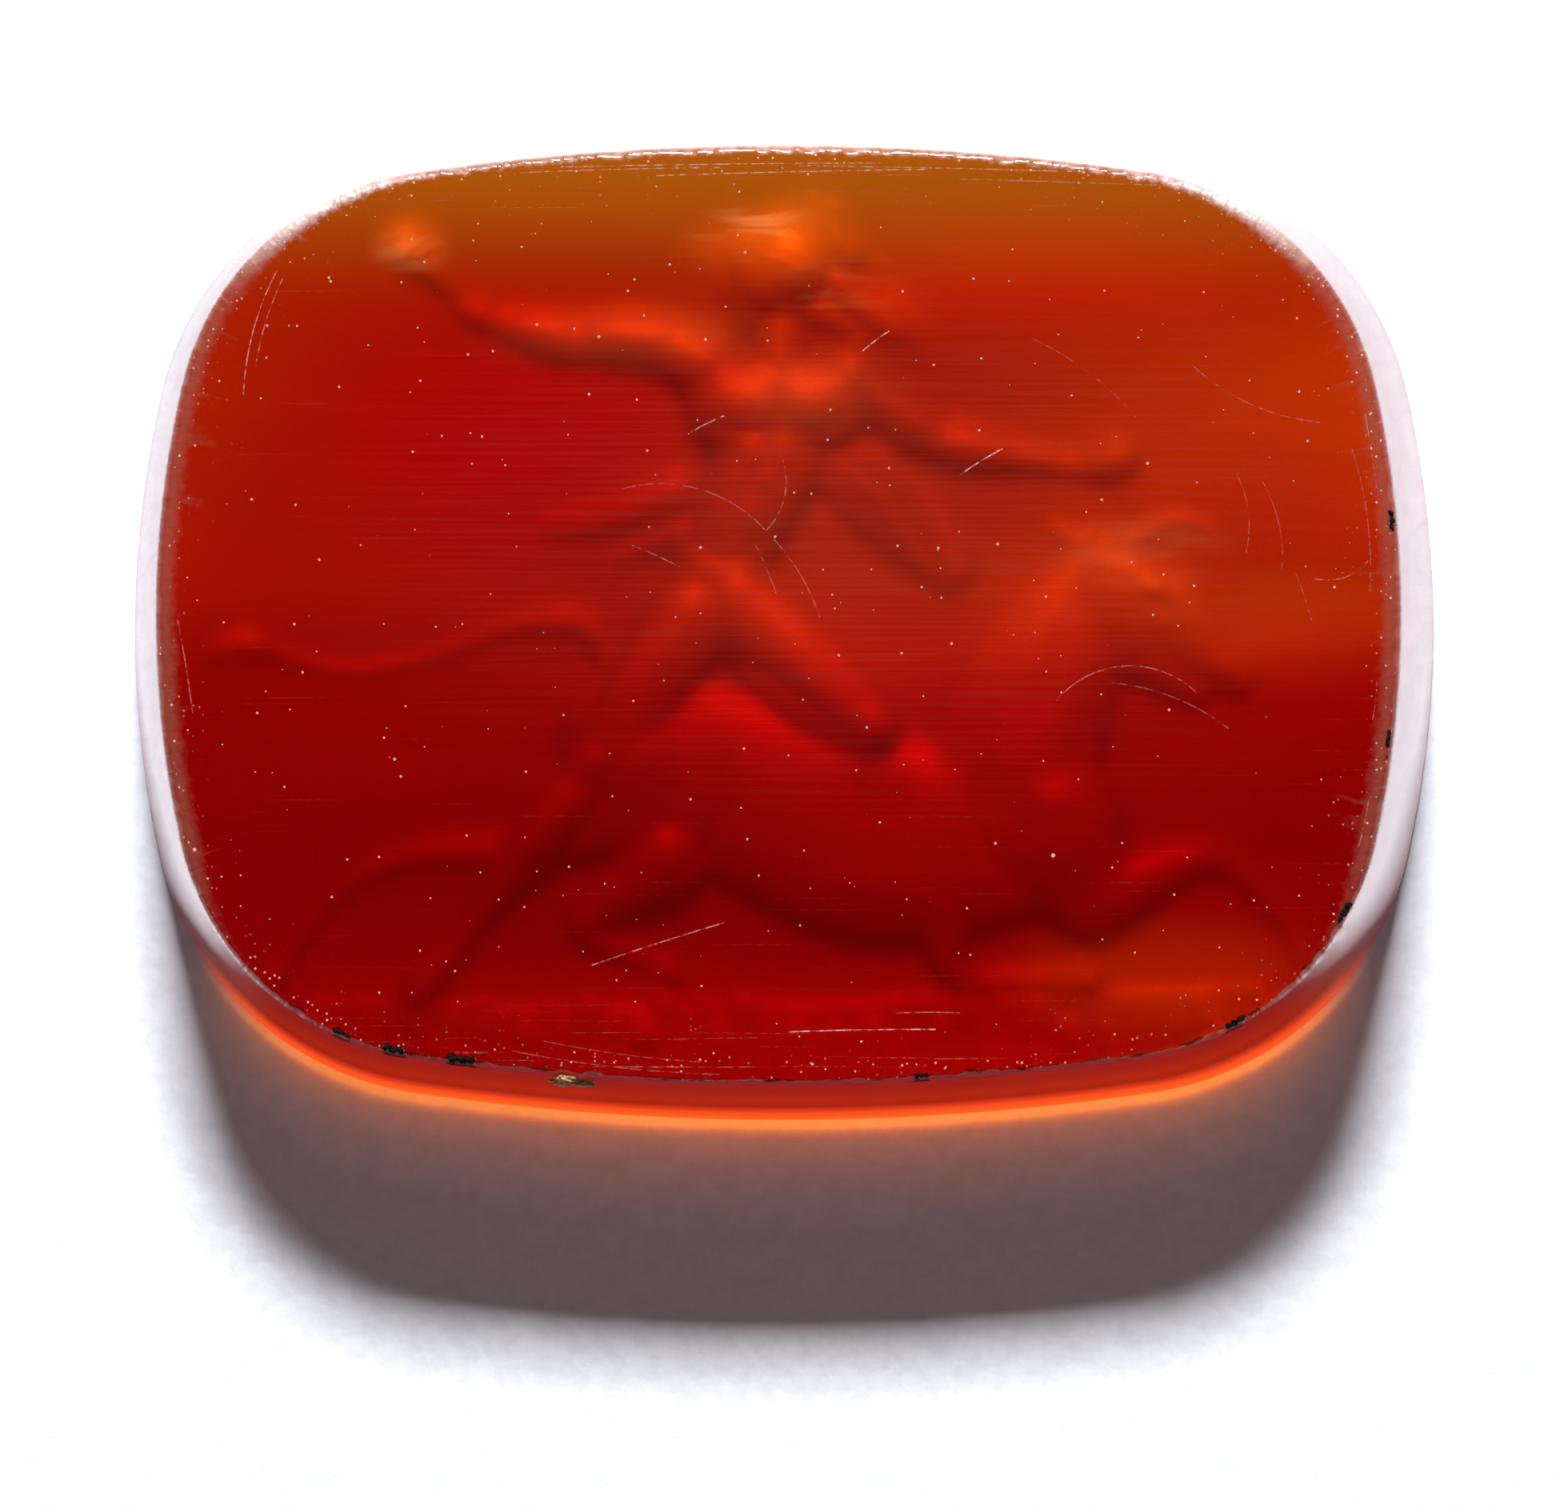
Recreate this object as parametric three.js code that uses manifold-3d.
// An engraved ringstone of carnelian, lying on its engraved face as it does on a bench.
// Millimetres, +Z up. The origin is the centre of the engraved face, +X runs along the stone's
// long way and +Y across it. The plain, polished back is the top. The design is cut into the
// underside, stroke by stroke, as an engraver's round drills and wheels cut it.
import * as THREE from "three";
import { mergeVertices } from "three/addons/utils/BufferGeometryUtils.js";
import Module from "manifold-3d";

const wasm = await Module();
wasm.setup();

// The stone's outline and section
const backHalfWidth = 7.65;
const backHalfHeight = 5.78;
const thickness = 2.8;
const longSideRadius = 31;
const shortSideRadius = 12.8;
const cornerRadius = 3.4;
const wallFlare = 0.43;
const wallBow = 0.04;
const backArris = 0.11;
const faceArris = 0.06;

// How far the design sits below the middle of the stone
const designDrop = 0.08;

// How finely the outline and the strokes are faceted
const longSideSteps = 9;
const cornerSteps = 8;
const shortSideSteps = 7;
const strokeFacet = 0.3;
const fewestStrokeFacets = 8;
const weldDistance = 1e-5;

// The room between a chip in the back's edge and what is left in it
const fillClearance = 0.012;

const stoneMaterial = new THREE.MeshStandardMaterial({
  color: 0x9c1208, roughness: 0.12, metalness: 0,
});
const pitchMaterial = new THREE.MeshStandardMaterial({
  color: 0x1b1114, roughness: 0.6, metalness: 0,
});
const crustMaterial = new THREE.MeshStandardMaterial({
  color: 0xa8793c, roughness: 0.8, metalness: 0,
});

// A closed geometry as a solid that can be joined and cut.
function solidOf(geometry) {
  const bare = geometry.index ? geometry.toNonIndexed() : geometry.clone();
  bare.deleteAttribute("normal");
  bare.deleteAttribute("uv");
  const merged = mergeVertices(bare, weldDistance);
  return new wasm.Manifold(new wasm.Mesh({
    numProp: 3,
    vertProperties: merged.attributes.position.array,
    triVerts: new Uint32Array(merged.index.array),
  }));
}

// A solid as a geometry.
function geometryOf(solid) {
  const mesh = solid.getMesh();
  const geometry = new THREE.BufferGeometry();
  geometry.setAttribute("position", new THREE.BufferAttribute(mesh.vertProperties, 3));
  geometry.setIndex(new THREE.BufferAttribute(mesh.triVerts, 1));
  geometry.computeVertexNormals();
  return geometry;
}

// Where two circles cross, on the right of the way from the first centre to the second.
function circlesMeet(firstCentre, firstRadius, secondCentre, secondRadius) {
  const way = secondCentre.clone().sub(firstCentre);
  const apart = way.length();
  const along = (firstRadius ** 2 - secondRadius ** 2 + apart ** 2) / (2 * apart);
  const aside = Math.sqrt(Math.max(firstRadius ** 2 - along ** 2, 0));
  way.divideScalar(apart);
  return firstCentre.clone()
    .addScaledVector(way, along)
    .addScaledVector(new THREE.Vector2(way.y, -way.x), aside);
}

// The outline's first quadrant is three arcs, each tangent to the next. Every larger or smaller
// outline has the same centres, so all of them have matching points.
const longSideCentre = new THREE.Vector2(0, backHalfHeight - longSideRadius);
const shortSideCentre = new THREE.Vector2(backHalfWidth - shortSideRadius, 0);
const cornerCentre = circlesMeet(longSideCentre, longSideRadius - cornerRadius,
  shortSideCentre, shortSideRadius - cornerRadius);
const longToCorner = cornerCentre.clone().sub(longSideCentre).angle();
const cornerToShort = cornerCentre.clone().sub(shortSideCentre).angle();

// A point on each step of the outline, grown outwards by grow, anticlockwise from +X.
function outline(grow) {
  const quadrant = [];
  const arc = (centre, radius, from, to, steps) => {
    for (let i = 0; i < steps; i += 1) {
      const angle = from + ((to - from) * i) / steps;
      quadrant.push(new THREE.Vector2(centre.x + (radius + grow) * Math.cos(angle),
        centre.y + (radius + grow) * Math.sin(angle)));
    }
  };
  arc(shortSideCentre, shortSideRadius, 0, cornerToShort, shortSideSteps);
  arc(cornerCentre, cornerRadius, cornerToShort, longToCorner, cornerSteps);
  arc(longSideCentre, longSideRadius, longToCorner, Math.PI / 2, longSideSteps);
  quadrant.push(new THREE.Vector2(0, backHalfHeight + grow));
  const half = [...quadrant, ...quadrant.slice(0, -1).reverse()
    .map((p) => new THREE.Vector2(-p.x, p.y))];
  return [...half, ...half.slice(1, -1).reverse()
    .map((p) => new THREE.Vector2(p.x, -p.y))];
}

// A solid through stacked outlines, each with its growth and height, bottom first.
function loft(sections) {
  const rings = sections.map(({ grow, z }) =>
    outline(grow).map((p) => new THREE.Vector3(p.x, p.y, z)));
  const count = rings[0].length;
  const points = [...rings.flat(),
    new THREE.Vector3(0, 0, sections[0].z),
    new THREE.Vector3(0, 0, sections.at(-1).z)];
  const bottom = rings.length * count;
  const top = bottom + 1;
  const faces = [];
  for (let i = 0; i < count; i += 1) {
    const next = (i + 1) % count;
    faces.push(bottom, next, i);
    faces.push(top, bottom - count + i, bottom - count + next);
    for (let r = 0; r < rings.length - 1; r += 1) {
      const low = r * count;
      const high = low + count;
      faces.push(low + i, low + next, high + next);
      faces.push(low + i, high + next, high + i);
    }
  }
  const geometry = new THREE.BufferGeometry().setFromPoints(points);
  geometry.setIndex(faces);
  return geometry;
}

// One stroke of a round drill that runs from one point to the next and may widen on the way.
// The tool's rounded end is flattened by depth, which is its reach into the stone as a share
// of its radius.
function stroke(from, to, depth) {
  const run = Math.hypot(to.x - from.x, to.y - from.y);
  const radius = Math.max(from.radius, to.radius);
  const around = Math.max(fewestStrokeFacets, Math.ceil((2 * Math.PI * radius) / strokeFacet));
  const arcSteps = Math.max(3, Math.ceil(around / 5));
  const lean = Math.asin(THREE.MathUtils.clamp((from.radius - to.radius) / run, -0.95, 0.95));
  const profile = [];
  for (let i = 0; i <= arcSteps; i += 1) {
    const angle = -Math.PI / 2 + ((lean + Math.PI / 2) * i) / arcSteps;
    profile.push(new THREE.Vector2(i ? from.radius * Math.cos(angle) : 0,
      from.radius * Math.sin(angle)));
  }
  for (let i = 0; i <= arcSteps; i += 1) {
    const angle = lean + ((Math.PI / 2 - lean) * i) / arcSteps;
    profile.push(new THREE.Vector2(i < arcSteps ? to.radius * Math.cos(angle) : 0,
      run + to.radius * Math.sin(angle)));
  }
  const fall = Math.atan2(depth * (to.sink - from.sink), run);
  return solidOf(new THREE.LatheGeometry(profile, around)
    .rotateX(fall)
    .scale(1, 1, depth)
    .rotateZ(Math.atan2(to.y - from.y, to.x - from.x) - Math.PI / 2)
    .translate(from.x, from.y, from.sink));
}

// The design is a common classical one: a hero springs on the back of a running bull, one knee
// on its flank and the other leg stretched behind, with an arm drawn back and a short cloak
// flying. Each cut is a chain of strokes, and each point of it holds shares: across the back's
// half width, up its half height, the drill's radius over the half height, and how far the
// drill's centre is sunk over the thickness. The depth share flattens the whole chain.
const cutShares = {
  bull_barrel: { depth: 0.36, path: [
    [-0.235, -0.23, 0.17, 0], [0.01, -0.38, 0.222, 0], [0.18, -0.45, 0.232, 0],
    [0.4, -0.42, 0.205, 0]] },
  bull_neck: { depth: 0.38, path: [
    [0.37, -0.3, 0.2, 0], [0.42, -0.1, 0.17, 0], [0.5, 0.05, 0.12, 0]] },
  bull_brow: { depth: 0.52, path: [
    [0.54, 0.07, 0.11, 0], [0.62, 0.03, 0.095, 0.02], [0.69, -0.06, 0.062, 0.02],
    [0.735, -0.105, 0.046, 0.01]] },
  bull_jaw: { depth: 0.62, path: [[0.575, -0.04, 0.075, 0], [0.67, -0.13, 0.042, 0]] },
  bull_near_ear: { depth: 0.8, path: [[0.49, 0.17, 0.028, 0], [0.44, 0.215, 0.013, 0]] },
  bull_horn: { depth: 0.9, path: [
    [0.56, 0.18, 0.024, 0.01], [0.63, 0.225, 0.019, 0], [0.7, 0.215, 0.01, 0]] },
  bull_rump: { depth: 0.5, path: [[-0.25, -0.27, 0.14, 0.03], [-0.25, -0.4, 0.105, 0.02]] },
  far_hind_leg: { depth: 0.72, path: [
    [-0.27, -0.41, 0.075, 0.01], [-0.405, -0.475, 0.046, 0], [-0.6, -0.492, 0.028, 0],
    [-0.715, -0.565, 0.025, 0], [-0.8, -0.71, 0.02, 0], [-0.822, -0.75, 0.03, 0]] },
  near_hind_leg: { depth: 0.75, path: [
    [-0.18, -0.5, 0.085, 0.02], [-0.32, -0.635, 0.042, 0], [-0.225, -0.712, 0.023, 0],
    [-0.18, -0.74, 0.028, 0]] },
  bull_chest: { depth: 0.5, path: [[0.44, -0.44, 0.15, 0.04], [0.5, -0.56, 0.11, 0.01]] },
  raised_foreleg: { depth: 0.75, path: [
    [0.53, -0.57, 0.08, 0], [0.69, -0.495, 0.038, 0], [0.79, -0.595, 0.025, 0],
    [0.84, -0.7, 0.022, 0], [0.85, -0.735, 0.03, 0]] },
  folded_foreleg: { depth: 0.75, path: [
    [0.255, -0.6, 0.07, 0.02], [0.285, -0.745, 0.036, 0], [0.41, -0.757, 0.023, 0],
    [0.495, -0.755, 0.034, 0]] },
  tail: { depth: 0.9, path: [
    [-0.31, 0.02, 0.03, 0], [-0.44, 0, 0.018, 0], [-0.585, -0.07, 0.015, 0],
    [-0.725, -0.087, 0.014, 0], [-0.855, -0.04, 0.016, 0], [-0.92, -0.05, 0.01, 0]] },
  cloak_behind: { depth: 0.55, path: [
    [-0.17, 0.29, 0.05, 0], [-0.285, 0.235, 0.038, 0], [-0.38, 0.215, 0.02, 0]] },
  cloak_end: { depth: 0.6, path: [[-0.16, 0.2, 0.04, 0], [-0.26, 0.15, 0.018, 0]] },
  cloak_before: { depth: 0.42, path: [
    [0.09, 0.36, 0.075, 0], [0.18, 0.24, 0.08, 0], [0.27, 0.14, 0.068, 0]] },
  cloak_fold: { depth: 0.8, path: [
    [0.13, 0.36, 0.022, 0.02], [0.24, 0.25, 0.024, 0.02], [0.31, 0.12, 0.02, 0.01]] },
  hips: { depth: 0.62, path: [[-0.085, 0.16, 0.1, 0.01], [-0.115, 0.06, 0.108, 0.02]] },
  belly: { depth: 0.62, path: [[-0.02, 0.36, 0.118, 0.01], [-0.075, 0.2, 0.1, 0.01]] },
  chest: { depth: 0.66, path: [[-0.07, 0.475, 0.115, 0.01], [0.06, 0.475, 0.11, 0.01]] },
  neck: { depth: 0.8, path: [[0, 0.63, 0.056, 0], [0, 0.55, 0.068, 0.01]] },
  stretched_thigh: { depth: 0.78, path: [
    [-0.145, 0.02, 0.1, 0.03], [-0.3, -0.29, 0.066, 0.08]] },
  stretched_shin: { depth: 0.8, path: [
    [-0.31, -0.32, 0.06, 0.07], [-0.415, -0.49, 0.056, 0.03], [-0.515, -0.655, 0.034, 0]] },
  stretched_foot: { depth: 0.8, path: [
    [-0.52, -0.67, 0.034, 0], [-0.58, -0.765, 0.044, 0], [-0.6, -0.79, 0.03, 0]] },
  bent_shin: { depth: 0.72, path: [
    [0.14, -0.25, 0.05, 0.09], [-0.045, -0.09, 0.045, 0.06]] },
  bent_thigh: { depth: 0.78, path: [
    [-0.07, 0.05, 0.1, 0.03], [0.15, -0.215, 0.062, 0.11]] },
  back_upper_arm: { depth: 0.8, path: [
    [-0.12, 0.56, 0.078, 0], [-0.2, 0.615, 0.062, 0], [-0.33, 0.62, 0.05, 0]] },
  back_forearm: { depth: 0.8, path: [[-0.35, 0.62, 0.05, 0], [-0.465, 0.66, 0.033, 0]] },
  back_hand: { depth: 0.85, path: [[-0.485, 0.672, 0.036, 0], [-0.515, 0.685, 0.024, 0]] },
  club: { depth: 0.85, path: [[-0.5, 0.69, 0.015, 0], [-0.61, 0.815, 0.04, 0]] },
  front_upper_arm: { depth: 0.8, path: [
    [0.11, 0.54, 0.075, 0], [0.17, 0.475, 0.058, 0], [0.25, 0.4, 0.048, 0]] },
  front_forearm: { depth: 0.8, path: [
    [0.265, 0.4, 0.048, 0], [0.37, 0.37, 0.041, 0], [0.48, 0.345, 0.029, 0]] },
  front_fist: { depth: 0.85, path: [[0.51, 0.35, 0.038, 0], [0.545, 0.36, 0.046, 0]] },
  halter: { depth: 0.9, path: [[0.545, 0.31, 0.014, 0], [0.52, 0.2, 0.014, 0]] },
  skull: { depth: 0.78, path: [[-0.02, 0.73, 0.09, 0], [0.015, 0.78, 0.095, 0.01]] },
  jaw: { depth: 0.78, path: [[-0.045, 0.69, 0.05, 0.01], [-0.03, 0.64, 0.045, 0]] },
  nose: { depth: 0.8, path: [[-0.085, 0.72, 0.026, 0], [-0.1, 0.7, 0.018, 0]] },
  forelock: { depth: 0.85, path: [
    [-0.06, 0.85, 0.034, 0], [0.04, 0.875, 0.036, 0], [0.11, 0.805, 0.036, 0]] },
  upper_lock: { depth: 0.85, path: [
    [0.09, 0.735, 0.04, 0], [0.165, 0.655, 0.026, 0], [0.215, 0.61, 0.012, 0]] },
  lower_lock: { depth: 0.85, path: [[0.06, 0.68, 0.036, 0], [0.14, 0.62, 0.016, 0]] },
  ground_line: { depth: 0.8, path: [
    [-0.76, -0.812, 0.011, 0], [-0.12, -0.826, 0.014, 0], [0.78, -0.775, 0.01, 0]] },
  rocks: { depth: 0.35, path: [
    [-0.41, -0.79, 0.034, 0], [-0.2, -0.795, 0.045, 0], [0.06, -0.79, 0.04, 0]] },
};

// Every stroke of every cut, joined to one solid and so ready to be taken out of the stone.
function design() {
  const strokes = [];
  for (const { depth, path } of Object.values(cutShares)) {
    const points = path.map(([across, up, radius, sink]) => ({
      x: across * backHalfWidth,
      y: up * backHalfHeight - designDrop,
      radius: radius * backHalfHeight,
      sink: sink * thickness,
    }));
    for (let i = 1; i < points.length; i += 1) {
      strokes.push(stroke(points[i - 1], points[i], depth));
    }
  }
  return wasm.Manifold.union(strokes);
}

// Chips along the back's edge, which hold what is left of an old bedding of pitch and, in one, a
// flake of limy crust. turnShare is the way round the outline from +X, as a share of one turn.
const chipLength = 0.34;
const chipWidth = 0.17;
const chipDepth = 0.12;
const chips = [
  { name: "pitch_crumb_left_corner", turnShare: 0.622, sizeShare: 0.8 },
  { name: "pitch_crumb_left", turnShare: 0.635, sizeShare: 1 },
  { name: "pitch_crumb_near_left", turnShare: 0.652, sizeShare: 1.2 },
  { name: "crust_flake", turnShare: 0.683, sizeShare: 1.5 },
  { name: "pitch_crumb_near", turnShare: 0.798, sizeShare: 0.7 },
  { name: "pitch_crumb_near_right", turnShare: 0.884, sizeShare: 0.9 },
  { name: "pitch_crumb_right_corner", turnShare: 0.923, sizeShare: 1 },
  { name: "pitch_crumb_right_low", turnShare: 0.968, sizeShare: 0.8 },
  { name: "pitch_crumb_right_high", turnShare: 0.024, sizeShare: 0.9 },
];

// The middle of the worn arris at that share of a turn, and the way that the edge runs there.
function edgeAt(turnShare) {
  const points = outline(-backArris / 2);
  const angle = turnShare * 2 * Math.PI;
  const ray = new THREE.Vector2(Math.cos(angle), Math.sin(angle));
  const ahead = Math.max(points.findIndex((p) => p.angle() > angle), 0);
  const start = points.at(ahead - 1);
  const end = points.at(ahead);
  const passed = start.cross(ray) / (start.cross(ray) - end.cross(ray));
  return { place: start.clone().lerp(end, passed), heading: end.clone().sub(start).angle() };
}

// A lump like a flattened pebble, centred on the arris and smaller all round by clearance.
// It cuts the chip, and what of it lies within the stone's old surface is the fill.
function lump({ turnShare, sizeShare }, clearance, detail) {
  const { place, heading } = edgeAt(turnShare);
  return new THREE.IcosahedronGeometry(1, detail)
    .scale((chipLength * sizeShare) / 2 - clearance, (chipWidth * sizeShare) / 2 - clearance,
      (chipDepth * sizeShare) / 2 - clearance)
    .rotateZ(heading)
    .translate(place.x, place.y, thickness - backArris / 2);
}

const body = solidOf(loft([
  { grow: wallFlare - faceArris, z: 0 },
  { grow: wallFlare, z: faceArris },
  { grow: wallFlare / 2 + wallBow, z: thickness / 2 },
  { grow: 0, z: thickness - backArris },
  { grow: -backArris, z: thickness },
]));
let stone = body.subtract(design());
for (const chip of chips) stone = stone.subtract(solidOf(lump(chip, 0, 2)));

const gem = new THREE.Group();
const stoneMesh = new THREE.Mesh(geometryOf(stone), stoneMaterial);
stoneMesh.name = "carnelian_stone";
gem.add(stoneMesh);
for (const chip of chips) {
  const fill = solidOf(lump(chip, fillClearance, 1)).intersect(body);
  const crumb = new THREE.Mesh(geometryOf(fill),
    chip.name === "crust_flake" ? crustMaterial : pitchMaterial);
  crumb.name = chip.name;
  gem.add(crumb);
}

export default gem;
